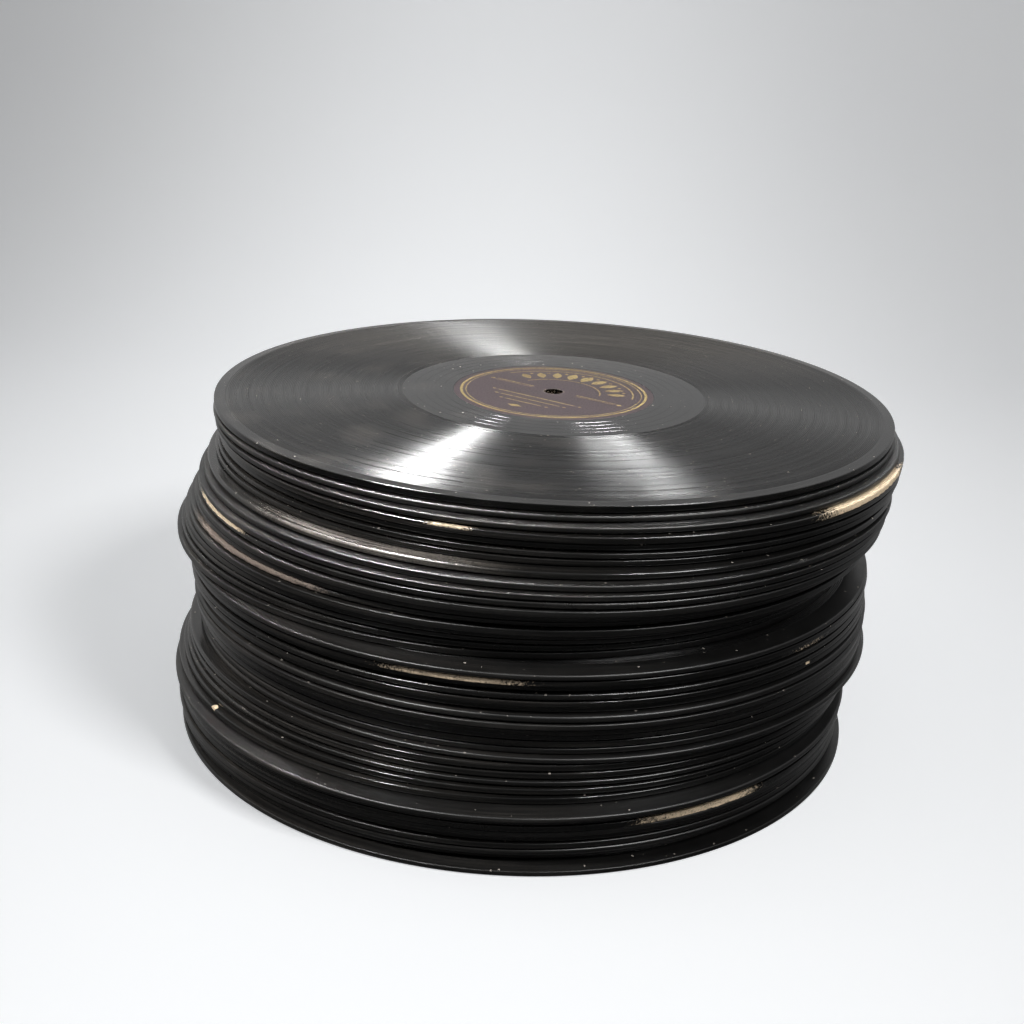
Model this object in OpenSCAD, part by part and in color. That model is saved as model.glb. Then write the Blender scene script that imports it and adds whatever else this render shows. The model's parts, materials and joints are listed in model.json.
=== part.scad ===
// A stack of ten-inch shellac records, slid about as a pile is after handling.
// Millimetres, +Z up. The origin is the middle of the underside of the lowest record.
// Every record is a moulded disc with a paper label pressed into each side.
// The labels of the top record are parts of their own. Those of the covered records
// are drawn in one piece with the disc that they are bonded to.

/* [Record] */
// Outside diameter of every record
disc_d = 250; // [240:0.5:256]
// Thickness of an ordinary pressing
disc_t = 2.5; // [2.2:0.05:3]
// How much thicker or thinner than that a pressing can be
t_spread = 0.25; // [0:0.05:0.3]
// Step that the thickness of a pressing is rounded to
t_step = 0.02; // [0.02:0.02:0.1]
// Spindle hole
hole_d = 7.26; // [7:0.02:7.6]
// Width of the smooth lead-in margin that slopes to the rim
leadin_w = 5; // [3:0.5:8]
// Drop of the lead-in margin where it meets the rounded rim
leadin_drop = 0.25; // [0.1:0.05:0.4]
// Steps around each half of the rounded rim
rim_steps = 8; // [4:1:16]

/* [Run-out] */
// Diameter at which the playing grooves end and the smooth land begins
runout_d = 112; // [100:1:130]
// Turns of the run-out groove across the land
runout_turns = 4; // [2:1:6]
// Width of a run-out groove
runout_w = 0.4; // [0.2:0.05:0.6]
// Depth of a run-out groove
runout_depth = 0.12; // [0.05:0.01:0.2]

/* [Label] */
// Diameter of the paper label
label_d = 75; // [70:0.5:85]
// Thickness of the paper
label_t = 0.15; // [0.1:0.01:0.2]
// How far the paper lies below the face of the record
label_sink = 0.05; // [0.02:0.01:0.1]
// Gap between the paper's outer edge and the shellac round it
label_fit = 0.1; // [0.05:0.01:0.3]

/* [Handfuls] */
// Records in each handful that was put on the pile, from the top one down
handfuls = [3, 1, 3, 5, 7, 13, 5, 8, 1]; // [1:1:15]
// Each slide says how far the first record of a handful lies to the right and to the back
// of the lowest record of the pile, and then how far its last record does.
// Top of the pile
slide_1 = [10.5, 20.5, 11.6, 17]; // [-30:0.1:30]
// A record that sticks out to the right
slide_2 = [13.6, 14.5, 13.6, 14.5]; // [-30:0.1:30]
// Records that lie close beneath it
slide_3 = [13, 14.5, 11.5, 14.5]; // [-30:0.1:30]
// Records that come forward
slide_4 = [10.2, 9.5, 6, 5]; // [-30:0.1:30]
// Records that run off to the back and the left
slide_5 = [5.2, 6.7, -2.2, 14]; // [-30:0.1:30]
// Records that start well forward and stand out to the right
slide_6 = [3.2, 5.8, 6, 8.9]; // [-30:0.1:30]
// Records that run off to the left
slide_7 = [2.6, 6.5, -1.4, 6.5]; // [-30:0.1:30]
// Records that start furthest forward
slide_8 = [-1.4, -1.2, -1.4, 6]; // [-30:0.1:30]
// Scatter of the single records within a handful, to the right and to the back
scatter = [0.5, 1.4]; // [0:0.05:2]

/* [Hidden] */
$fn = 180;
shellac = "#1d1c1e";
paper = "#54272a";
disc_r = disc_d / 2;
hole_r = hole_d / 2;
label_r = label_d / 2;
recess_r = label_r + label_fit;
recess_depth = label_t + label_sink;
runout_r = runout_d / 2;
runout_gap = (runout_r - recess_r) / (runout_turns + 1);
lowest = [0, 0, 0, 0];
slides = [slide_1, slide_2, slide_3, slide_4, slide_5, slide_6, slide_7, slide_8, lowest];
count = first(len(handfuls)) - 1;

// Records are counted from the top of the pile
function record_name(k) = str("record_", k < 10 ? "0" : "", k);
// Thickness of record k, and the height of its underside
function thick(k) = t_step * round((disc_t + t_spread * sin(100 * k)) / t_step);
function base(k) = k >= count ? 0 : base(k + 1) + thick(k + 1);
// First record of handful i, and the handful that record k lies in
function first(i) = i == 0 ? 1 : first(i - 1) + handfuls[i - 1];
function handful(k, i = 0) = k < first(i) + handfuls[i] ? i : handful(k, i + 1);
// Place of record k in its handful, from 0 at the first to 1 at the last
function along(k, i) = handfuls[i] < 2 ? 0 : (k - first(i)) / (handfuls[i] - 1);
// Irregular share of the scatter, from -1 to 1; it leaves the top and the lowest record in place
function stray(k, rate) = sin(rate * (k - 1) * (count - k));
function slid(k, i, n) = slides[i][n] + (slides[i][n + 2] - slides[i][n]) * along(k, i);
function right_of(k) = slid(k, handful(k), 0) + scatter[0] * stray(k, 31);
function back_of(k) = slid(k, handful(k), 1) + scatter[1] * stray(k, 53);
function place(k) = [right_of(k), back_of(k), base(k)];

// Upper half of a record's section, from the spindle hole out to the rim.
// On a labelled one the paper fills the recess, apart from the gap round its outer edge.
function half_section(h, labelled) = concat(
  labelled
    ? [[hole_r, h - label_sink], [label_r, h - label_sink], [label_r, h - recess_depth]]
    : [[hole_r, h - recess_depth]],
  [[recess_r, h - recess_depth], [recess_r, h]],
  [for (n = [1 : runout_turns]) each runout_groove(recess_r + n * runout_gap, h)],
  [[disc_r - leadin_w, h]],
  rim(h - leadin_drop));
function runout_groove(r, h) = [
  [r - runout_w / 2, h],
  [r, h - runout_depth],
  [r + runout_w / 2, h]];
// Rounded rim from its shoulder to the middle of the edge
function rim(r) = [for (s = [0 : rim_steps])
  [disc_r - r + r * sin(90 * s / rim_steps), r * cos(90 * s / rim_steps)]];
function flipped(points) = [for (n = [len(points) - 2 : -1 : 0]) [points[n][0], -points[n][1]]];

module record(k) {
  half = half_section(thick(k) / 2, labelled = k > 1);
  color(shellac)
    translate(place(k) + [0, 0, thick(k) / 2])
      rotate_extrude()
        polygon(concat(half, flipped(half)));
}

module label() {
  linear_extrude(label_t)
    difference() {
      circle(label_r);
      circle(hole_r);
    }
}

module label_upper() {
  color(paper)
    translate(place(1) + [0, 0, thick(1) - recess_depth])
      label();
}

module label_lower() {
  color(paper)
    translate(place(1) + [0, 0, label_sink])
      label();
}

for (k = [1 : count])
  record(k);
label_upper();
label_lower();
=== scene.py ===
# A pile of ten-inch shellac records, slid about in handfuls, on a pale studio sweep.
# Metres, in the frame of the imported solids: the origin is the middle of the pile's underside.
import json
import math
from collections import namedtuple

import bpy
from mathutils import Matrix, Vector, noise

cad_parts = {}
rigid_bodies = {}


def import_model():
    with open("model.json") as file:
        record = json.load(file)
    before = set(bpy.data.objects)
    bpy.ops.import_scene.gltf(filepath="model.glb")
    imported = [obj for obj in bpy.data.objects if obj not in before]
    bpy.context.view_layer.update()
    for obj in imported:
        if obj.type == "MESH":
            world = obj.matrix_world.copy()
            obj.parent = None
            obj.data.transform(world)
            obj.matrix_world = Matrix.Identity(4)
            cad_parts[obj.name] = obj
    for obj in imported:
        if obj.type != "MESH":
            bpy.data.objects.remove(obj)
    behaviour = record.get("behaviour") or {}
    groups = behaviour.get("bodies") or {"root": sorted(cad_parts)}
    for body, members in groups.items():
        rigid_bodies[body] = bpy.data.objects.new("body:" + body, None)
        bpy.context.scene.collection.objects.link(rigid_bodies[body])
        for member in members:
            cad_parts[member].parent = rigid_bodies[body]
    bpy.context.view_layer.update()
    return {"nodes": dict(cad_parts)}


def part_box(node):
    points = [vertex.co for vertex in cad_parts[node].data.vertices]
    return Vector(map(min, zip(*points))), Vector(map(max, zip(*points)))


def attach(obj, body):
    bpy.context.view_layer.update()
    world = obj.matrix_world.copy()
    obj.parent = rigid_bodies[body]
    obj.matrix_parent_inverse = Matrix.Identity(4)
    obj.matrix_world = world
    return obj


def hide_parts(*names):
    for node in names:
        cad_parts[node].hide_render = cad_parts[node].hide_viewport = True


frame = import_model()

# Records.
# Each is one disc of shellac compound, pressed hot between two stampers: label recess, smooth
# run-out land, grooved playing band, sloping lead-in and blunt edge come from the one pressing.
MM = 0.001
RECORDS = sorted(name for name in frame["nodes"] if name.startswith("record_"))
TOP_RECORD = RECORDS[0]
HOLE_R = 3.63 * MM
LABEL_R = 37.5 * MM
LABEL_SINK = 0.05 * MM
PAPER_T = 0.15 * MM
RECESS_R = 37.6 * MM
RECESS_DEPTH = LABEL_SINK + PAPER_T
RUNOUT_R = 56 * MM
RUNOUT_TURNS = 4
RUNOUT_W = 0.24 * MM
RUNOUT_DEPTH = 0.05 * MM
BAND_R = RUNOUT_R + 0.5 * MM
EDGE_R = 125 * MM
LEADIN_W = 5 * MM
LEADIN_DROP = 0.25 * MM
LEADIN_RING = 3 * MM
# The smooth margin outside the grooves: it differs from record to record, up to the widest.
TOP_MARGIN = 3.4 * MM
WIDEST_MARGIN = 9.5 * MM
LAST_LAND = 0.4 * MM
RIM_STEPS = 12
TURNS = 240
TOP_TURNS = 360
SHARP_CORNER = math.radians(24)
# A groove is 0.25 mm from the next on the real record, too fine to show, and is drawn at 0.6 mm.
# Each has a flat land, and then a valley whose bottom lies at this share of the way to the next.
GROOVE_PITCH = 0.6 * MM
GROOVE_LAND = 0.3
GROOVE_BOTTOM = 0.65
# Air on each face, so that no face lies in one plane with the next record's.
AIR = 0.01 * MM
# Each record is turned this much further than the last, so that no two show the same dust.
GOLDEN_TURN = math.radians(137.5)
# Dust and worn shellac are grains of 0.7 mm, coarser than real ones so that they show.
GRAINS = 1.4 / MM
# Roughness of a pressing that came out dull, what the best polish takes off it, and that of dust.
UNPOLISHED = 0.36
BEST_POLISH = 0.24
DULL = 0.75


def linear(code):
    """An sRGB hex colour as linear red, green, blue and alpha."""
    parts = [int(code[n : n + 2], 16) / 255 for n in (1, 3, 5)]
    return [p / 12.92 if p <= 0.04045 else ((p + 0.055) / 1.055) ** 2.4 for p in parts] + [1]


def add(tree, kind, inputs, **settings):
    """Adds a shader node with its settings; an input takes a value or another node's output."""
    made = tree.nodes.new("ShaderNode" + kind)
    for name, value in settings.items():
        setattr(made, name, value)
    for name, value in inputs.items():
        if isinstance(value, bpy.types.NodeSocket):
            tree.links.new(value, made.inputs[name])
        else:
            made.inputs[name].default_value = value
    return made.outputs


def blank(name):
    """A new material without nodes, and its node tree."""
    material = bpy.data.materials.new(name)
    material.use_nodes = True
    material.node_tree.nodes.clear()
    return material, material.node_tree


def soiled(tree, grain):
    """Shellac's colour and dullness: dust lies on it, a worn edge shows the pale core, and a grey painted
    sheen lightens the back of the top record.
    """
    dust_and_sheen = add(tree, "Attribute", {}, attribute_name="dust_and_sheen")["Fac"]
    worn = add(tree, "Attribute", {}, attribute_name="worn")["Fac"]
    tan = add(tree, "Attribute", {}, attribute_name="tan")["Fac"]
    # Dust lies in lines 0.6 mm wide and 50 mm long that run round with the grooves and the rim.
    flat = add(tree, "VectorMath", {0: grain, 1: (1, 1, 0)}, operation="MULTIPLY")[0]
    radius = add(tree, "VectorMath", {0: flat}, operation="LENGTH")["Value"]
    bearing = add(tree, "VectorMath", {0: flat}, operation="NORMALIZE")[0]
    bearing = add(tree, "VectorMath", {0: bearing, "Scale": EDGE_R / (50 * MM)}, operation="SCALE")[0]
    height = add(tree, "SeparateXYZ", {"Vector": grain})["Z"]
    level = add(tree, "Math", {0: radius, 1: height}, operation="ADD")[0]
    level = add(tree, "Math", {0: level, 1: 1.6 / MM}, operation="MULTIPLY")[0]
    level = add(tree, "CombineXYZ", {"Z": level})[0]
    run = add(tree, "VectorMath", {0: bearing, 1: level}, operation="ADD")[0]
    streak = add(tree, "TexNoise", {"Vector": run, "Scale": 1, "Detail": 4, "Roughness": 0.7})["Fac"]
    fine = add(tree, "TexNoise", {"Vector": grain, "Scale": GRAINS, "Detail": 3, "Roughness": 0.7})["Fac"]
    lines = add(tree, "MapRange", {"Value": streak, "From Min": 0.45, "From Max": 0.6, "To Min": 0.25})[0]
    crumbs = add(tree, "MapRange", {"Value": fine, "From Min": 0.3, "From Max": 0.6, "To Min": 0.4})[0]
    veil = add(tree, "Math", {0: lines, 1: crumbs}, operation="MULTIPLY")[0]
    # Its amount also carries the painted sheen at the back of the top record.
    veil = add(tree, "Math", {0: veil, 1: dust_and_sheen}, operation="MULTIPLY", use_clamp=True)[0]
    # Single specks of fluff, up to 0.8 mm across and about 10 mm apart, lie on the level faces.
    cells = add(tree, "TexVoronoi", {"Vector": grain, "Scale": 0.45 / MM})
    chance = add(tree, "SeparateColor", {"Color": cells["Color"]})["Red"]
    size = add(tree, "MapRange", {"Value": chance, "From Min": 0.7, "From Max": 1, "To Max": 0.19})[0]
    speck = add(tree, "Math", {0: cells["Distance"], 1: size}, operation="LESS_THAN")[0]
    facing = add(tree, "SeparateXYZ", {"Vector": add(tree, "NewGeometry", {})["Normal"]})["Z"]
    level_face = add(tree, "Math", {0: facing, 1: 0.6}, operation="GREATER_THAN")[0]
    speck = add(tree, "Math", {0: speck, 1: level_face}, operation="MULTIPLY")[0]
    veil = add(tree, "Math", {0: speck, 1: 0.8, 2: veil}, operation="MULTIPLY_ADD", use_clamp=True)[0]
    # The worn edge breaks up into grains, cream where it is fresh and brown where it is old.
    grit = add(tree, "TexNoise", {"Vector": grain, "Scale": GRAINS, "Detail": 4, "Roughness": 0.65})["Fac"]
    edge = add(tree, "Math", {0: grit, 1: 0.9, 2: worn}, operation="MULTIPLY_ADD")[0]
    bare = add(tree, "MapRange", {"Value": edge, "From Min": 0.98, "From Max": 1.16})[0]
    core = add(tree, "MixRGB", {"Fac": tan, "Color1": linear("#c2ae92"), "Color2": linear("#776a60")})[0]
    shade = add(tree, "MapRange", {"Value": fine, "From Min": 0.28, "From Max": 0.5, "To Min": 0.5})[0]
    core = add(tree, "MixRGB", {"Fac": 1.0, "Color1": core, "Color2": shade}, blend_type="MULTIPLY")[0]
    colour = add(tree, "MixRGB", {"Fac": veil, "Color1": linear("#090909"), "Color2": linear("#8d867e")})[0]
    colour = add(tree, "MixRGB", {"Fac": bare, "Color1": colour, "Color2": core})[0]
    dull = add(tree, "Math", {0: veil, 1: bare}, operation="MAXIMUM")[0]
    return colour, dull, fine, bare


def smooth_shellac():
    """Shellac where the stamper was plain: hard, black and glossy like sealing wax."""
    material, tree = blank("pressed shellac")
    grain = add(tree, "Attribute", {}, attribute_name="grain")["Vector"]
    colour, dull, fine, bare = soiled(tree, grain)
    # Hands leave smears about 11 mm wide, and each pressing came out more or less polished.
    smear = add(tree, "TexNoise", {"Vector": grain, "Scale": 0.09 / MM, "Detail": 3})["Fac"]
    gloss = add(
        tree,
        "MapRange",
        {"Value": smear, "From Min": 0.3, "From Max": 0.7, "To Min": -0.04, "To Max": 0.06},
    )[0]
    polish = add(tree, "Attribute", {}, attribute_name="polish")["Fac"]
    gloss = add(tree, "Math", {0: polish, 1: -BEST_POLISH, 2: gloss}, operation="MULTIPLY_ADD")[0]
    gloss = add(tree, "Math", {0: gloss, 1: UNPOLISHED}, operation="ADD")[0]
    rough = add(tree, "MixRGB", {"Fac": dull, "Color1": gloss, "Color2": (DULL, DULL, DULL, 1)})[0]
    lift = add(tree, "Math", {0: fine, 1: bare}, operation="MULTIPLY")[0]
    bumps = add(tree, "Math", {0: lift, 1: 6.0, 2: fine}, operation="MULTIPLY_ADD")[0]
    normal = add(tree, "Bump", {"Strength": 0.35, "Distance": 0.04 * MM, "Height": bumps})[0]
    surface = add(
        tree,
        "BsdfPrincipled",
        {"Base Color": colour, "Roughness": rough, "IOR": 1.5, "Normal": normal},
    )[0]
    add(tree, "OutputMaterial", {"Surface": surface})
    return material


def grooved_shellac(name, cut):
    """Shellac in the playing band: the walls of the grooves throw the lamps into radial streaks."""
    material, tree = blank(name)
    grain = add(tree, "Attribute", {}, attribute_name="grain")["Vector"]
    colour, dull, _, _ = soiled(tree, grain)
    place = add(tree, "TexCoord", {})["Object"]
    across = add(tree, "VectorMath", {0: place, 1: (1, 1, 0)}, operation="MULTIPLY")[0]
    radius = add(tree, "VectorMath", {0: across}, operation="LENGTH")["Value"]
    # Loud and quiet passages make rings about 2 mm wide.
    ring = add(tree, "CombineXYZ", {"X": radius})[0]
    loud = add(tree, "TexNoise", {"Vector": ring, "Scale": 0.5 / MM, "Detail": 4, "Roughness": 0.7})["Fac"]
    normal = add(tree, "NewGeometry", {})["Normal"]
    if not cut:
        # Where the mesh has no grooves, the normals of a land and two walls stand in for them.
        outward = add(tree, "VectorMath", {0: across}, operation="NORMALIZE")[0]
        outward = add(
            tree,
            "VectorTransform",
            {0: outward},
            vector_type="VECTOR",
            convert_from="OBJECT",
            convert_to="WORLD",
        )[0]
        turn = add(tree, "Math", {0: radius, 1: GROOVE_PITCH}, operation="DIVIDE")[0]
        turn = add(tree, "Math", {0: turn}, operation="FRACT")[0]
        wall = add(tree, "Math", {0: turn, 1: GROOVE_LAND}, operation="GREATER_THAN")[0]
        far_wall = add(tree, "Math", {0: turn, 1: GROOVE_BOTTOM}, operation="GREATER_THAN")[0]
        side = add(tree, "Math", {0: far_wall, 1: 2.0}, operation="MULTIPLY")[0]
        side = add(tree, "Math", {0: side, 1: wall}, operation="SUBTRACT")[0]
        steep = add(
            tree,
            "MapRange",
            {"Value": loud, "From Min": 0.3, "From Max": 0.7, "To Min": 0.5, "To Max": 0.8},
        )[0]
        slope = add(tree, "Math", {0: side, 1: steep}, operation="MULTIPLY")[0]
        lean = add(tree, "VectorMath", {0: outward, "Scale": slope}, operation="SCALE")[0]
        normal = add(tree, "VectorMath", {0: normal, 1: lean}, operation="ADD")[0]
        normal = add(tree, "VectorMath", {0: normal}, operation="NORMALIZE")[0]
    gloss = add(
        tree,
        "MapRange",
        {"Value": loud, "From Min": 0.3, "From Max": 0.7, "To Min": 0.24, "To Max": 0.32},
    )[0]
    rough = add(tree, "MixRGB", {"Fac": dull, "Color1": gloss, "Color2": (DULL, DULL, DULL, 1)})[0]
    round_about = add(tree, "Tangent", {}, direction_type="RADIAL", axis="Z")[0]
    surface = add(
        tree,
        "BsdfPrincipled",
        {
            "Base Color": colour,
            "Roughness": rough,
            "IOR": 1.5,
            "Anisotropic": 0.85,
            "Anisotropic Rotation": 0.25,
            "Tangent": round_about,
            "Normal": normal,
        },
    )[0]
    add(tree, "OutputMaterial", {"Surface": surface})
    return material


def label_paper():
    """Calendered paper of the label, printed dark maroon all over: a faint sheen, rubbed at the hole."""
    material, tree = blank("label paper")
    grain = add(tree, "Attribute", {}, attribute_name="grain")["Vector"]
    # Its fibres are drawn 0.7 mm wide, far coarser than real ones, and its stains 8 mm.
    fibre = add(
        tree,
        "TexNoise",
        {"Vector": grain, "Scale": 1.4 / MM, "Detail": 4, "Roughness": 0.7},
    )["Fac"]
    stain = add(tree, "TexNoise", {"Vector": grain, "Scale": 0.12 / MM, "Detail": 3})["Fac"]
    worn = add(tree, "Attribute", {}, attribute_name="worn")["Fac"]
    ink = add(tree, "MixRGB", {"Fac": stain, "Color1": linear("#2f2427"), "Color2": linear("#3b2a2d")})[0]
    scuff = add(tree, "Math", {0: fibre, 1: worn}, operation="ADD")[0]
    scuff = add(tree, "MapRange", {"Value": scuff, "From Min": 1.0, "From Max": 1.2})[0]
    colour = add(tree, "MixRGB", {"Fac": scuff, "Color1": ink, "Color2": linear("#b9ab98")})[0]
    rough = add(
        tree,
        "MapRange",
        {"Value": fibre, "From Min": 0.3, "From Max": 0.7, "To Min": 0.3, "To Max": 0.45},
    )[0]
    normal = add(tree, "Bump", {"Strength": 0.3, "Distance": 0.03 * MM, "Height": fibre})[0]
    surface = add(
        tree,
        "BsdfPrincipled",
        {"Base Color": colour, "Roughness": rough, "IOR": 1.45, "Normal": normal},
    )[0]
    add(tree, "OutputMaterial", {"Surface": surface})
    return material


# The finishes of a record's faces, by their place in its list of materials.
PLAIN, GROOVED, PAPER, CUT = 0, 1, 2, 3
finishes = [
    smooth_shellac(),
    grooved_shellac("grooved shellac", cut=False),
    label_paper(),
    grooved_shellac("deeply grooved shellac", cut=True),
]

# One record: its node, its number from the top, half its thickness, its radius, how blunt its edge
# is, how wide the smooth margin round its grooves is, and the worn places round its edge.
Disc = namedtuple("Disc", "node number half radius bluntness margin worn_edges")

# One worn place: where it starts and ends round the edge in degrees, how strong it is, how brown,
# how far it reaches in over the face, and how low, as a share of half the record's thickness.
WornEdge = namedtuple("WornEdge", "node start end strength brown inward lowest")
WHOLE_EDGE = -1.2
WORN_EDGES = [
    WornEdge("record_04", -56, -13, 0.92, 0.0, 7 * MM, WHOLE_EDGE),
    WornEdge("record_04", -112, -100, 0.72, 0.2, 2 * MM, 0.4),
    WornEdge("record_14", -168, -108, 0.84, 1.0, 7 * MM, WHOLE_EDGE),
    WornEdge("record_21", -118, -82, 0.74, 0.25, 4 * MM, WHOLE_EDGE),
    WornEdge("record_22", -52, -34, 0.55, 0.3, 4 * MM, WHOLE_EDGE),
    WornEdge("record_40", -77, -42, 0.76, 0.0, 6 * MM, WHOLE_EDGE),
    WornEdge("record_11", -164, -136, 1.05, 0.1, 2 * MM, 0.35),
    WornEdge("record_37", -143, -141.4, 1.0, 0.0, 2 * MM, 0.2),
    WornEdge("record_25", -44, -42.6, 0.9, 0.0, 2 * MM, 0.2),
]
WORN_STEP = 0.3
CHIP_DEPTH = 0.35 * MM
HOLE_WEAR_R = 9 * MM
DUSTY_LEDGE = "record_08"
DUSTY_SIDE = math.radians(25)


def ramp(value, low, high):
    """Smooth step from 0 at low to 1 at high."""
    t = min(max((value - low) / (high - low), 0), 1)
    return t * t * (3 - 2 * t)


def rim(disc):
    """Points of the edge from the end of the lead-in to the middle, rounder or blunter."""
    reach = disc.half - LEADIN_DROP
    points = []
    for step in range(RIM_STEPS + 1):
        angle = math.pi / 2 * step / RIM_STEPS
        out = max(math.sin(angle), 0) ** (2 / disc.bluntness)
        up = max(math.cos(angle), 0) ** (2 / disc.bluntness)
        points.append((disc.radius - reach + reach * out, reach * up, PLAIN))
    return points


def face_height(disc, r):
    """Height of the face at a radius: level as far as the lead-in, then sloping down to the rim."""
    slope_w = LEADIN_W - disc.half + LEADIN_DROP
    return disc.half - LEADIN_DROP * max(0, (r - disc.radius + LEADIN_W) / slope_w)


def runout_grooves(disc):
    """Points of the turns of the run-out groove, which are flat at the bottom."""
    gap = (RUNOUT_R - RECESS_R) / (RUNOUT_TURNS + 1)
    points = []
    for n in range(1, RUNOUT_TURNS + 1):
        r = RECESS_R + n * gap
        points += [
            (r - RUNOUT_W / 2, disc.half, PLAIN),
            (r - RUNOUT_W / 6, disc.half - RUNOUT_DEPTH, PLAIN),
            (r + RUNOUT_W / 6, disc.half - RUNOUT_DEPTH, PLAIN),
            (r + RUNOUT_W / 2, disc.half, PLAIN),
        ]
    return points


def playing_grooves(disc, end):
    """Points of the playing grooves, each as deep as its passage is loud."""
    points = []
    for n in range(int((end - BAND_R) / GROOVE_PITCH)):
        steep = 0.65 + 0.3 * noise.noise((0.37 * n, 0, 0))
        depth = (GROOVE_BOTTOM - GROOVE_LAND) * GROOVE_PITCH * steep
        for share, sunk in ((0, 0), (GROOVE_LAND, 0), (GROOVE_BOTTOM, depth)):
            r = BAND_R + n * GROOVE_PITCH + share * GROOVE_PITCH
            points.append((r, face_height(disc, r) - sunk, CUT))
    return points


def half_section(disc, labelled, cut):
    """Points from the spindle hole out to the middle of the rim, each with the finish that follows."""
    face = disc.half
    if labelled:
        points = [
            (HOLE_R, face - LABEL_SINK, PAPER),
            (LABEL_R, face - LABEL_SINK, PAPER),
            (LABEL_R, face - RECESS_DEPTH, PLAIN),
        ]
    else:
        points = [(HOLE_R, face - RECESS_DEPTH, PLAIN)]
    points += [(RECESS_R, face - RECESS_DEPTH, PLAIN), (RECESS_R, face, PLAIN)]
    last_groove = disc.radius - disc.margin
    if cut:
        end = last_groove - LAST_LAND
        points += runout_grooves(disc) + playing_grooves(disc, end)
    else:
        end = disc.radius - WIDEST_MARGIN
        points += [(BAND_R + (end - BAND_R) * n / 3, face, GROOVED) for n in range(3)]
    for r in sorted({end, disc.radius - LEADIN_W, disc.radius - LEADIN_RING, last_groove}):
        if r >= end:
            finish = GROOVED if r < last_groove and not cut else PLAIN
            points.append((r, face_height(disc, r), finish))
    return points + rim(disc)


def wear(disc, r, z, a):
    """How far the edge is worn at a point, and how brown its core is."""
    bearing = math.degrees(a)
    for edge in disc.worn_edges:
        if edge.start < bearing < edge.end:
            fade = 0.4 * (edge.end - edge.start)
            starting = ramp(bearing, edge.start, edge.start + fade)
            ending = 1 - ramp(bearing, edge.end - fade, edge.end)
            patchy = 1 + 0.15 * noise.noise((bearing * 0.25, disc.number, 0))
            inner = disc.radius - edge.inward
            across = ramp(r, inner, inner + 0.4 * edge.inward)
            down = ramp(z, (edge.lowest - 0.2) * disc.half, edge.lowest * disc.half)
            worn = (0.35 + 0.65 * starting * ending) * edge.strength * patchy * across * down
            return worn, edge.brown
    return 0, 0


def chipped(disc, r, z, a):
    """A point of the record, sunk where the edge has chipped away."""
    if disc.worn_edges:
        bite = 0.6 + noise.noise((math.degrees(a) * 0.9, z * 0.9 / MM, disc.number))
        r -= CHIP_DEPTH * wear(disc, r, z, a)[0] * max(bite, 0)
    return r * math.cos(a), r * math.sin(a), z


def dust_and_sheen_on(disc, r, a):
    """How much dust lies at a point, most out by the edge and on the left of the pile; on the top record it
    also holds a painted sheen at the back.
    """
    left = 0.5 - 0.5 * math.cos(a - DUSTY_SIDE)
    turned = a + GOLDEN_TURN * disc.number
    patchy = 0.7 + 0.6 * noise.noise((3 * math.cos(turned), 3 * math.sin(turned), disc.number))
    outer = ramp(r, disc.radius - 12 * MM, disc.radius - 2 * MM)
    amount = (0.008 + 0.13 * left**3) * max(patchy, 0.15) * outer
    if disc.node == DUSTY_LEDGE:
        bearing = math.degrees(a)
        amount += 0.7 * outer * ramp(bearing, -146, -126) * (1 - ramp(bearing, -112, -92))
    if disc.node == TOP_RECORD:
        # It has a dusty patch on the left and smudges about 15 mm wide round that; the grey film laid over
        # its back is a painted sheen that lightens it.
        x, y = r * math.cos(a), r * math.sin(a)
        patch = ((x + 85 * MM) ** 2 + 2 * (y + 12 * MM) ** 2) / (45 * MM) ** 2
        amount = 0.03 * math.exp(-patch) + 0.3 * amount + 0.01
        amount += 0.36 * ramp(y, 15 * MM, 90 * MM)
        smudge = noise.noise((0.07 / MM * x, 0.07 / MM * y, 0))
        amount += 0.3 * left**2 * max(smudge, 0)
    return amount


def lathe(name, section, angles, finish_of, move):
    """A closed ring of the section's points at each angle; move gives each point its place."""
    rows, count = len(angles), len(section)
    points = [move(r, z, a) for a in angles for r, z, _ in section]
    faces, kinds = [], []
    for i in range(rows):
        j = (i + 1) % rows
        for n in range(count):
            m = (n + 1) % count
            faces.append((i * count + n, j * count + n, j * count + m, i * count + m))
            kinds.append(finish_of[n])
    mesh = bpy.data.meshes.new(name)
    mesh.from_pydata(points, [], faces)
    mesh.polygons.foreach_set("material_index", kinds)
    mesh.shade_smooth()
    mesh.set_sharp_from_angle(angle=SHARP_CORNER)
    return mesh


def lay(mesh, name, values):
    """Lays values on the points of a mesh for its materials: a number each, or the three of a place."""
    places = len(values) == 3 * len(mesh.vertices)
    layer = mesh.attributes.new(name, "FLOAT_VECTOR" if places else "FLOAT", "POINT")
    layer.data.foreach_set("vector" if places else "value", values)


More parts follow.
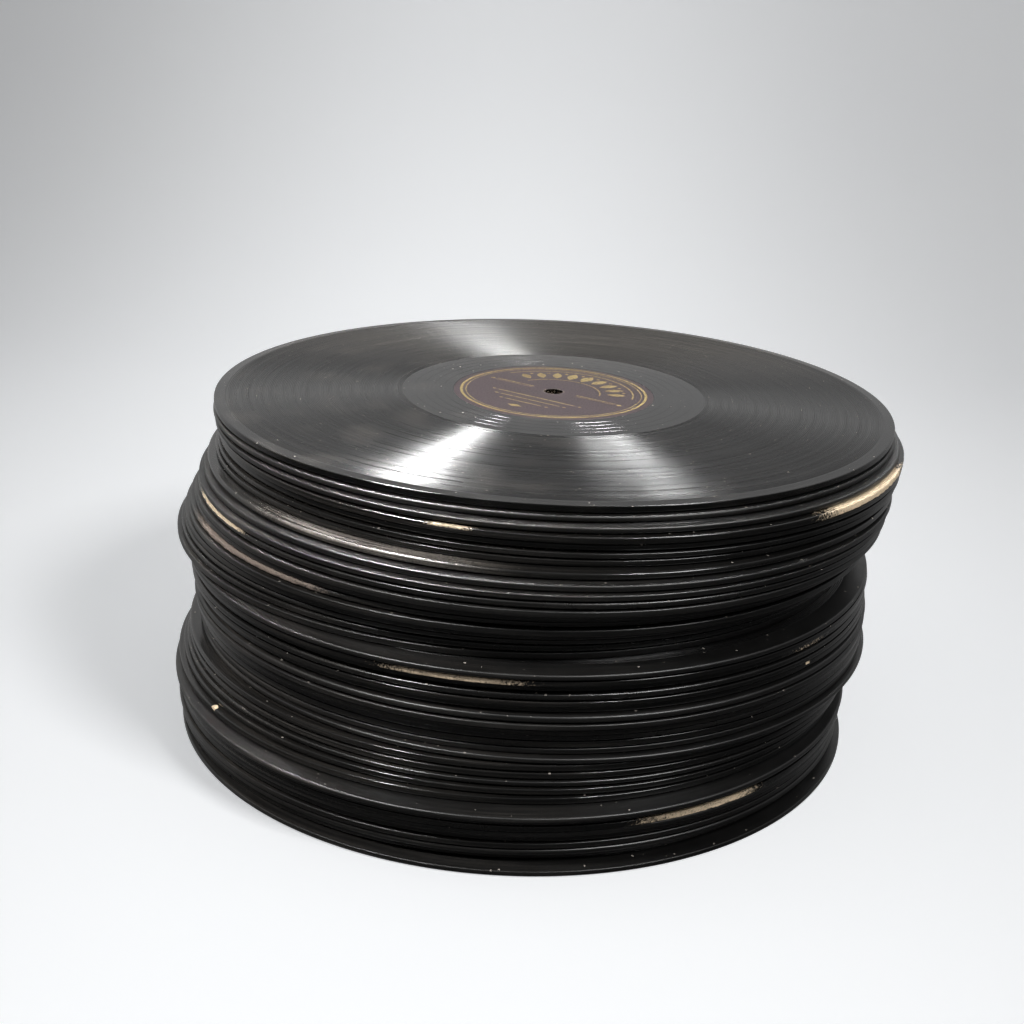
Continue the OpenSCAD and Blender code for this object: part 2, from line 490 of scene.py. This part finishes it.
for number, node in enumerate(RECORDS, 1):
    low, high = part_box(node)
    on_top = node == TOP_RECORD
    disc = Disc(
        node=node,
        number=number,
        half=(high.z - low.z) / 2 - AIR,
        radius=(high.x - low.x) / 2,
        bluntness=3.8 + 1.4 * math.sin(2.1 * number),
        margin=TOP_MARGIN if on_top else LEADIN_W + (0.6 + 3.2 * math.sin(1.7 * number)) * MM,
        worn_edges=[edge for edge in WORN_EDGES if edge.node == node],
    )
    polish = (0.5 + 0.5 * math.sin(1.3 * number * number)) ** 1.5
    upper = half_section(disc, labelled=not on_top, cut=on_top)
    under = half_section(disc, labelled=not on_top, cut=False)[-2::-1]
    section = upper + [(r, -z, finish) for r, z, finish in under]
    finish_of = [finish for _, _, finish in upper[:-1] + under] + [PLAIN]
    turns = TOP_TURNS if on_top else TURNS
    degrees = {round(-180 + 360 * n / turns, 4) for n in range(turns)}
    for edge in disc.worn_edges:
        steps = int((edge.end - edge.start) / WORN_STEP)
        degrees |= {round(edge.start + WORN_STEP * n, 4) for n in range(steps)}
    angles = [math.radians(d) for d in sorted(degrees)]
    mesh = lathe(node, section, angles, finish_of, lambda r, z, a: chipped(disc, r, z, a))
    grain, dust_and_sheen, worn, tan = [], [], [], []
    for a in angles:
        turned = a + GOLDEN_TURN * number
        for r, z, _ in section:
            grain += [r * math.cos(turned), r * math.sin(turned), z + number * 50 * MM]
            dust_and_sheen.append(dust_and_sheen_on(disc, r, a))
            edge_wear, brown = wear(disc, r, z, a)
            if r < HOLE_WEAR_R:
                edge_wear = 0.5 * (1 - ramp(r, HOLE_R, HOLE_WEAR_R))
            worn.append(edge_wear)
            tan.append(brown)
    lay(mesh, "grain", grain)
    lay(mesh, "dust_and_sheen", dust_and_sheen)
    lay(mesh, "worn", worn)
    lay(mesh, "tan", tan)
    lay(mesh, "polish", [polish] * len(tan))
    for finish in finishes:
        mesh.materials.append(finish)
    record = bpy.data.objects.new("shellac_" + node, mesh)
    bpy.context.scene.collection.objects.link(record)
    record.location = (low + high) / 2
    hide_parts(node)
    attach(record, node)

# Labels of the top record.
# Each is a disc of printed paper. It was laid in the press with the hot shellac, which bonds it,
# so it lies in its recess just below the face. Those of the covered records are on their discs.
PAPER_EDGE = 0.03 * MM
LABEL_WEAR_R = 8 * MM
LABEL_TURNS = 180
LABEL_RINGS = 8
for node in ("label_upper", "label_lower"):
    low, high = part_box(node)
    half = (high.z - low.z) / 2
    ring_w = (LABEL_R - HOLE_R) / LABEL_RINGS
    section = [(HOLE_R + ring_w * n, half, PAPER) for n in range(LABEL_RINGS)]
    section += [
        (LABEL_R - PAPER_EDGE, half, PAPER),
        (LABEL_R, half - PAPER_EDGE, PAPER),
        (LABEL_R, -half, PAPER),
        (HOLE_R, -half, PAPER),
    ]
    angles = [2 * math.pi * n / LABEL_TURNS for n in range(LABEL_TURNS)]
    only_finish = [0] * len(section)
    mesh = lathe(
        node, section, angles, only_finish, lambda r, z, a: (r * math.cos(a), r * math.sin(a), z)
    )
    grain, worn = [], []
    for a in angles:
        for r, z, _ in section:
            grain += [r * math.cos(a), r * math.sin(a), z]
            worn.append(0.55 * (1 - ramp(r, HOLE_R, LABEL_WEAR_R)))
    lay(mesh, "grain", grain)
    lay(mesh, "worn", worn)
    mesh.materials.append(finishes[PAPER])
    label = bpy.data.objects.new("paper_" + node, mesh)
    bpy.context.scene.collection.objects.link(label)
    label.location = (low + high) / 2
    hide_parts(node)
    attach(label, "record_01")

# Print of the upper label.
# Bronze powder dusted on varnish while it was wet: rings and arcs, a wreath of leaves, rules and
# lozenges. It stands a hair above the paper, and its foot is sunk in it.
PRINT_T = 0.03 * MM
PRINT_SUNK = 0.005 * MM
PRINT_TURN = math.radians(-34)


def bronze_ink():
    """Bronze powder ink: dull gold, rubbed thin in patches of 1.4 mm where the paper shows through."""
    material, tree = blank("bronze ink")
    place = add(tree, "TexCoord", {})["Object"]
    rub = add(tree, "TexNoise", {"Vector": place, "Scale": 0.7 / MM, "Detail": 4, "Roughness": 0.7})["Fac"]
    thin = add(tree, "MapRange", {"Value": rub, "From Min": 0.52, "From Max": 0.66})[0]
    colour = add(tree, "MixRGB", {"Fac": thin, "Color1": linear("#a08d5c"), "Color2": linear("#5a4a33")})[0]
    metal = add(tree, "MapRange", {"Value": thin, "To Min": 0.6, "To Max": 0.2})[0]
    rough = add(tree, "MapRange", {"Value": rub, "To Min": 0.35, "To Max": 0.6})[0]
    surface = add(
        tree,
        "BsdfPrincipled",
        {"Base Color": colour, "Metallic": metal, "Roughness": rough},
    )[0]
    add(tree, "OutputMaterial", {"Surface": surface})
    return material


def plate(outline):
    """A thin closed plate over an outline in the label's own plane."""
    count = len(outline)
    points = [(x, y, 0) for x, y in outline] + [(x, y, PRINT_T) for x, y in outline]
    faces = [tuple(range(count))[::-1], tuple(range(count, 2 * count))]
    faces += [(n, (n + 1) % count, count + (n + 1) % count, count + n) for n in range(count)]
    return points, faces


def band(r, width, start=0.0, end=360.0):
    """A ring, or a part of one, of that width round the radius."""
    whole = end - start >= 360
    steps = int((end - start) / 2)
    angles = [math.radians(start + (end - start) * n / steps) for n in range(steps + (not whole))]
    inner, outer = r - width / 2, r + width / 2
    points, faces = [], []
    for a in angles:
        for radius, z in ((inner, 0), (outer, 0), (outer, PRINT_T), (inner, PRINT_T)):
            points.append((radius * math.cos(a), radius * math.sin(a), z))
    rows = len(angles)
    for i in range(rows if whole else rows - 1):
        j = (i + 1) % rows
        for n in range(4):
            m = (n + 1) % 4
            faces.append((4 * i + n, 4 * j + n, 4 * j + m, 4 * i + m))
    if not whole:
        faces += [(0, 1, 2, 3), (4 * rows - 1, 4 * rows - 2, 4 * rows - 3, 4 * rows - 4)]
    return points, faces


def turned_plate(x, y, turn, outline):
    """A plate whose outline lies along the turn, about the place."""
    c, s = math.cos(turn), math.sin(turn)
    return plate([(x + u * c - v * s, y + u * s + v * c) for u, v in outline])


def lozenge(x, y, long, wide, turn=0.0):
    """A lozenge with its long way along the turn."""
    return turned_plate(x, y, turn, [(long / 2, 0), (0, wide / 2), (-long / 2, 0), (0, -wide / 2)])


def leaf(x, y, long, wide, turn):
    """A pointed leaf with its long way along the turn."""
    edge = [(long * (n / 8 - 0.5), wide / 2 * math.sin(math.pi * n / 8)) for n in range(9)]
    return turned_plate(x, y, turn, edge + [(u, -v) for u, v in edge[-2:0:-1]])


def rule(x, y, long, wide):
    """A plain straight rule."""
    left, right = x - long / 2, x + long / 2
    near, far = y - wide / 2, y + wide / 2
    return plate([(left, near), (right, near), (right, far), (left, far)])


shapes = [band(34.6 * MM, 1 * MM), band(32.9 * MM, 0.35 * MM)]
# The wreath: nine leaves that grow shorter to both ends, with a small lozenge between each two.
LEAVES = 9
LEAF_STEP = math.radians(15)
LEAF_R = 23.5 * MM
BERRY_R = 26.5 * MM
BERRY_W = 1.6 * MM
for n in range(LEAVES):
    from_middle = n - LEAVES // 2
    a = math.pi / 2 + LEAF_STEP * from_middle
    long = (9 - 0.5 * abs(from_middle)) * MM
    shapes.append(leaf(LEAF_R * math.cos(a), LEAF_R * math.sin(a), long, 0.46 * long, a))
    if n < LEAVES - 1:
        b = a + LEAF_STEP / 2
        shapes.append(lozenge(BERRY_R * math.cos(b), BERRY_R * math.sin(b), BERRY_W, BERRY_W, b))
shapes += [band(r * MM, 0.5 * MM, start=22, end=158) for r in (17.4, 29.8)]
# A pair of rules on both sides of the hole, and three ever shorter ones below it.
for side in (-1, 1):
    shapes.append(rule(side * 18 * MM, 1.2 * MM, 17 * MM, 0.5 * MM))
    shapes.append(rule(side * 18 * MM, -0.2 * MM, 17 * MM, 0.25 * MM))
    shapes.append(lozenge(side * 28.3 * MM, 0.5 * MM, 2.6 * MM, 1.8 * MM))
for n, long in enumerate((34 * MM, 26 * MM, 16 * MM)):
    y = (-11.5 - 4.2 * n) * MM
    shapes.append(rule(0, y, long, 0.6 * MM))
    for side in (-1, 1):
        shapes.append(lozenge(side * (long / 2 + 2 * MM), y, 1.8 * MM, 1.2 * MM))
shapes.append(lozenge(0, -25.5 * MM, 6 * MM, 3 * MM))
points, faces = [], []
for more_points, more_faces in shapes:
    faces += [tuple(len(points) + n for n in face) for face in more_faces]
    points += more_points
c, s = math.cos(PRINT_TURN), math.sin(PRINT_TURN)
points = [(x * c - y * s, x * s + y * c, z) for x, y, z in points]
mesh = bpy.data.meshes.new("label_print")
mesh.from_pydata(points, [], faces)
mesh.materials.append(bronze_ink())
low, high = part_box("label_upper")
label_print = bpy.data.objects.new("bronze_label_print", mesh)
bpy.context.scene.collection.objects.link(label_print)
label_print.location = ((low.x + high.x) / 2, (low.y + high.y) / 2, high.z - PRINT_SUNK)
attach(label_print, "record_01")

# Studio.
# A sweep of pale background paper: it lies under the pile as the floor, and rises behind it in
# one curve to the backdrop.
SWEEP_W = 8.0
SWEEP_FRONT = -4.0
SWEEP_BACK = 1.1
SWEEP_R = 0.6
SWEEP_TOP = 3.0
SWEEP_STEPS = 16
ROOM_TONE = linear("#d8dadc")


def sweep_paper():
    """Matt white background paper; the camera sees it brighter round the pile than the lamps make it, as a
    painted pool of light.
    """
    material, tree = blank("background paper")
    place = add(tree, "TexCoord", {})["Object"]
    # It is mottled a little, in patches of 0.3 m.
    mottle = add(tree, "TexNoise", {"Vector": place, "Scale": 3, "Detail": 2})["Fac"]
    colour = add(
        tree,
        "MixRGB",
        {"Fac": mottle, "Color1": linear("#eeeff1"), "Color2": linear("#f4f5f6")},
    )[0]
    seen = add(tree, "LightPath", {})["Is Camera Ray"]
    # A pool of light is painted round the pile, as a glow that only the camera sees: it fades 0.3 m to each
    # side and 0.6 m up the sweep.
    where = add(tree, "SeparateXYZ", {"Vector": place})
    aside = add(
        tree,
        "MapRange",
        {"Value": where["X"], "From Min": -0.05, "From Max": 0.23},
        clamp=False,
    )[0]
    behind = add(tree, "MapRange", {"Value": where["Y"], "From Min": 0.45, "From Max": 1.05})[0]
    far = add(tree, "CombineXYZ", {"X": aside, "Y": behind})[0]
    far = add(tree, "VectorMath", {0: far, 1: far}, operation="DOT_PRODUCT")["Value"]
    painted_pool = add(tree, "Math", {0: 0.5, 1: far}, operation="POWER")[0]
    lift = add(tree, "Math", {0: painted_pool, 1: 0.5}, operation="MULTIPLY")[0]
    lift = add(tree, "Math", {0: seen, 1: lift}, operation="MULTIPLY")[0]
    surface = add(
        tree,
        "BsdfPrincipled",
        {
            "Base Color": colour,
            "Roughness": 0.9,
            "Specular IOR Level": 0.1,
            "Emission Color": linear("#f4f6f8"),
            "Emission Strength": lift,
        },
    )[0]
    # Far to the side, in front and high up it runs out to the tone of the room, so that no edge shows.
    wide = add(tree, "Math", {0: where["X"]}, operation="ABSOLUTE")[0]
    wide = add(tree, "Math", {0: where["Y"], 1: -0.36, 2: wide}, operation="MULTIPLY_ADD")[0]
    away = add(tree, "MapRange", {"Value": wide, "From Min": 0.2, "From Max": 0.5})[0]
    tall = add(tree, "MapRange", {"Value": where["Z"], "From Min": 0.3, "From Max": 0.6})[0]
    away = add(tree, "Math", {0: away, 1: tall}, operation="MAXIMUM")[0]
    away = add(tree, "Math", {0: away, 1: seen}, operation="MULTIPLY")[0]
    distant = add(tree, "Emission", {"Color": ROOM_TONE})[0]
    surface = add(tree, "MixShader", {"Fac": away, 1: surface, 2: distant})[0]
    add(tree, "OutputMaterial", {"Surface": surface})
    return material


line = [(SWEEP_FRONT, 0)]
for n in range(SWEEP_STEPS + 1):
    a = math.pi / 2 * n / SWEEP_STEPS
    line.append((SWEEP_BACK - SWEEP_R + SWEEP_R * math.sin(a), SWEEP_R - SWEEP_R * math.cos(a)))
line.append((SWEEP_BACK, SWEEP_TOP))
points = [(x, y, z) for y, z in line for x in (-SWEEP_W / 2, SWEEP_W / 2)]
faces = [(2 * n, 2 * n + 1, 2 * n + 3, 2 * n + 2) for n in range(len(line) - 1)]
mesh = bpy.data.meshes.new("sweep")
mesh.from_pydata(points, [], faces)
mesh.shade_smooth()
mesh.materials.append(sweep_paper())
sweep = bpy.data.objects.new("sweep", mesh)
bpy.context.scene.collection.objects.link(sweep)
sweep.visible_glossy = False

# Lamps.
# Three narrow boxes overhead each throw one streak on the grooves, three small lamps light the
# edges of the covered records, and a large box at the side lights all and casts the shadow.
low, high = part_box(TOP_RECORD)
TOP_CENTRE = Vector(((low.x + high.x) / 2, (low.y + high.y) / 2, high.z))
PILE_MIDDLE = (0, 0, 0.05)


def softbox(name, towards, away, aim, size, power, spread):
    """An area lamp that far away in a direction from the top record, turned to its aim."""
    lamp = bpy.data.lights.new(name, "AREA")
    lamp.shape = "RECTANGLE"
    lamp.size, lamp.size_y = size
    lamp.energy = power
    lamp.spread = math.radians(spread)
    holder = bpy.data.objects.new(name, lamp)
    bpy.context.scene.collection.objects.link(holder)
    holder.location = TOP_CENTRE + Vector(towards).normalized() * away
    look = Vector(aim) - holder.location
    holder.rotation_euler = look.to_track_quat("-Z", "Y").to_euler()
    return holder


# Each has its direction from the top record, distance, aim, size, watts and spread in degrees.
streak_boxes = [
    softbox("left_box", (-0.445, 0.2, 0.875), 0.9, (-0.09, -0.2, 0.1), (0.32, 0.10), 0.62, 17),
    softbox("right_box", (0.335, 0.25, 0.91), 1.0, (0.03, -0.03, 0.1), (0.08, 0.16), 0.082, 20),
    softbox("back_box", (0.225, 0.22, 0.94), 1.0, (-0.005, 0.065, 0.1), (0.06, 0.16), 0.125, 19),
]
edge_lamps = [
    softbox("left_spill", (-0.47, -0.42, 0.76), 1.2, PILE_MIDDLE, (0.16, 0.10), 8.5, 140),
    softbox("right_spill", (0.35, -0.5, 0.79), 1.2, PILE_MIDDLE, (0.10, 0.06), 2.5, 140),
    softbox("rear_spill", (0.1, 0.75, 0.65), 1.2, PILE_MIDDLE, (0.3, 0.10), 6.0, 140),
]
softbox("side_box", (0.56, -0.46, 0.7), 2.0, PILE_MIDDLE, (0.54, 0.54), 15.0, 160)
# The boxes overhead are flagged off the paper, and the edge lamps off the top record as well.
lit = bpy.data.collections.new("lit from overhead")
covered = bpy.data.collections.new("lit round the edge")
for piece in bpy.context.scene.collection.objects:
    if piece.name.startswith(("shellac_", "paper_", "bronze_")):
        lit.objects.link(piece)
    if piece.name.startswith("shellac_") and not piece.name.endswith(TOP_RECORD):
        covered.objects.link(piece)
for lamp in streak_boxes:
    lamp.light_linking.receiver_collection = lit
for lamp in edge_lamps:
    lamp.light_linking.receiver_collection = covered

# Room.
# It is dark behind the camera, and pale behind the pile and most so on the left, which the gloss
# of the records shows. A little light comes from overhead. The camera sees an even grey.
world = bpy.data.worlds.new("room")
bpy.context.scene.world = world
world.use_nodes = True
tree = world.node_tree
tree.nodes.clear()
way = add(tree, "SeparateXYZ", {"Vector": add(tree, "TexCoord", {})["Generated"]})
back = add(
    tree,
    "MapRange",
    {"Value": way["Y"], "From Min": 0.0, "From Max": 0.6, "To Min": 0.11, "To Max": 0.62},
)[0]
left = add(
    tree,
    "MapRange",
    {"Value": way["X"], "From Min": -0.8, "From Max": 0.8, "To Min": 1.05, "To Max": 0.6},
)[0]
above_floor = add(
    tree,
    "MapRange",
    {"Value": way["Z"], "From Min": -0.35, "From Max": 0.1, "To Min": 0.45, "To Max": 1.0},
)[0]
pale = add(tree, "Math", {0: back, 1: left}, operation="MULTIPLY")[0]
pale = add(tree, "Math", {0: pale, 1: above_floor}, operation="MULTIPLY")[0]
overhead = add(tree, "MapRange", {"Value": way["Z"], "From Min": 0.5, "From Max": 0.8})[0]
rear = add(tree, "MapRange", {"Value": way["Y"], "From Min": 0.3, "From Max": 0.55, "To Max": 0.6})[0]
pale = add(tree, "Math", {0: overhead, 1: rear, 2: pale}, operation="MULTIPLY_ADD")[0]
pale = add(tree, "Math", {0: overhead, 1: 0.25, 2: pale}, operation="MULTIPLY_ADD")[0]
seen = add(tree, "LightPath", {})["Is Camera Ray"]
room = add(tree, "MixRGB", {"Fac": seen, "Color1": pale, "Color2": ROOM_TONE})[0]
sky = add(tree, "Background", {"Color": room, "Strength": 1.0})[0]
add(tree, "OutputWorld", {"Surface": sky})

# Camera.
# It stands half a metre in front of the pile and above it, looks down at the top record, and
# leans a little to one side. Its angles are in radians.
FOCAL_PX = 1414.4
FRAME_PX = 1024
SENSOR = 36.0
CAMERA_PLACE = (0, -0.493991, 0.254917)
CAMERA_TURN = 0.006
CAMERA_DIP = 0.352
CAMERA_LEAN = 0.044
camera = bpy.data.cameras.new("camera")
camera.sensor_width = SENSOR
camera.lens = FOCAL_PX / FRAME_PX * SENSOR
camera.clip_start = 0.01
stand = bpy.data.objects.new("camera", camera)
bpy.context.scene.collection.objects.link(stand)
stand.matrix_world = (
    Matrix.Translation(CAMERA_PLACE)
    @ Matrix.Rotation(CAMERA_TURN, 4, "Z")
    @ Matrix.Rotation(math.pi / 2 - CAMERA_DIP, 4, "X")
    @ Matrix.Rotation(CAMERA_LEAN, 4, "Z")
)
bpy.context.scene.camera = stand
bpy.context.scene.view_settings.view_transform = "Standard"
